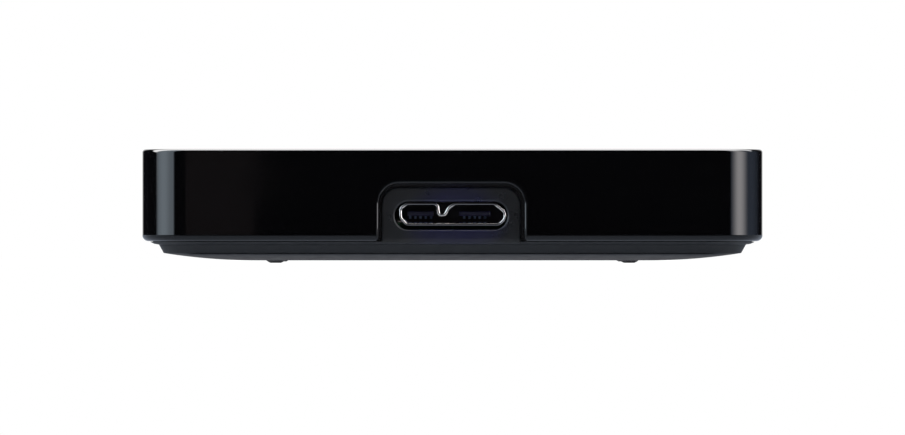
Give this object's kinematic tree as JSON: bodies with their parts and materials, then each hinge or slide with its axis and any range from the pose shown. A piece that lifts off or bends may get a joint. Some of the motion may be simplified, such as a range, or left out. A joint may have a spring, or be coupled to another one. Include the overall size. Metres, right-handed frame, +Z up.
{
  "type": "portable external hard drive",
  "caption": "Slim portable hard drive: glossy cover over a matte tray with small feet, a wide flat data socket in one end, and a disk drive held in rubber inside.",
  "frame": {"origin": "middle of the footprint, on the plane that the four feet rest on", "axes": "+X to the right seen from the port end, -Y out of the port end, +Z up"},
  "size_m": [0.078, 0.109, 0.0143],
  "materials": {
    "gloss_cover": "polished black moulded plastic",
    "matte_tray": "fine matte dark grey moulded plastic",
    "foot_rubber": "soft dark grey rubber",
    "mount_rubber": "soft black rubber",
    "foam": "open-cell dark foam",
    "black_film": "thin black insulating film",
    "cast_casing": "die-cast aluminium with a black coat",
    "steel_plate": "plain stainless sheet",
    "gasket_rubber": "black moulded rubber",
    "screw_steel": "zinc-plated steel",
    "board_green": "green solder mask on fibreglass",
    "chip_black": "moulded black epoxy",
    "capacitor": "fired ceramic",
    "white_plastic": "cream moulded plastic",
    "led_lens": "clear resin over a blue emitter",
    "nickel_shell": "nickel-plated steel sheet",
    "black_insulator": "black moulded plastic",
    "plated_contacts": "tin-plated bronze",
    "bronze": "sintered bronze",
    "motor_steel": "plated magnetic steel",
    "copper_wire": "enamelled copper wire",
    "turned_aluminium": "machined aluminium",
    "magnet": "nickel-plated magnet",
    "disk_mirror": "mirror-polished coated disk",
    "spring_steel": "thin stainless spring sheet",
    "head_ceramic": "dark ceramic",
    "amber_film": "amber polyimide film",
    "filter_felt": "white filter felt"
  },
  "bodies": {
    "root": {"top_cover": "gloss_cover", "bottom_case": "matte_tray", "foot_front_left": "foot_rubber", "foot_front_right": "foot_rubber", "foot_rear_left": "foot_rubber", "foot_rear_right": "foot_rubber", "shock_mount_front_left": "mount_rubber", "shock_mount_front_right": "mount_rubber", "shock_mount_rear_left": "mount_rubber", "shock_mount_rear_right": "mount_rubber", "top_foam_pad": "foam", "insulating_sheet": "black_film", "drive_base": "cast_casing", "drive_cover": "steel_plate", "cover_gasket": "gasket_rubber", "cover_screws": "screw_steel", "circuit_board": "board_green", "board_screws": "screw_steel", "controller_chip": "chip_black", "memory_chip": "chip_black", "motor_driver_chip": "chip_black", "firmware_chip": "chip_black", "clock_crystal": "steel_plate", "board_capacitors": "capacitor", "motor_contact_block": "white_plastic", "activity_led": "led_lens", "connector_shell": "nickel_shell", "connector_insulator": "black_insulator", "connector_contacts": "plated_contacts", "bearing_sleeve": "bronze", "stator_core": "motor_steel", "stator_coils": "copper_wire", "pivot_post": "screw_steel", "bottom_yoke": "motor_steel", "bottom_magnet": "magnet", "top_magnet": "magnet", "top_yoke": "motor_steel", "yoke_pillars": "screw_steel", "parking_ramp": "white_plastic", "flex_bracket": "black_insulator", "flex_cable": "amber_film", "crash_stop": "mount_rubber", "air_filter": "filter_felt"},
    "spindle": {"rotor_hub": "turned_aluminium", "spindle_shaft": "screw_steel", "magnet_ring": "magnet", "platter": "disk_mirror", "disk_clamp": "steel_plate", "clamp_screw": "screw_steel"},
    "actuator": {"actuator_arm": "turned_aluminium", "pivot_bearing": "screw_steel", "voice_coil": "copper_wire", "lower_suspension": "spring_steel", "upper_suspension": "spring_steel", "lower_head": "head_ceramic", "upper_head": "head_ceramic"}
  },
  "joints": [
    {"name": "spindle_spin", "type": "hinge", "parent": "root", "child": "spindle", "pos_m": [0, 0.0132, 0.008], "axis": [0, 0, 1], "continuous": true},
    {"name": "actuator_swing", "type": "hinge", "parent": "root", "child": "actuator", "pos_m": [-0.022, -0.02, 0.008], "axis": [0, 0, 1], "range_deg": [0, 36]}
  ]
}
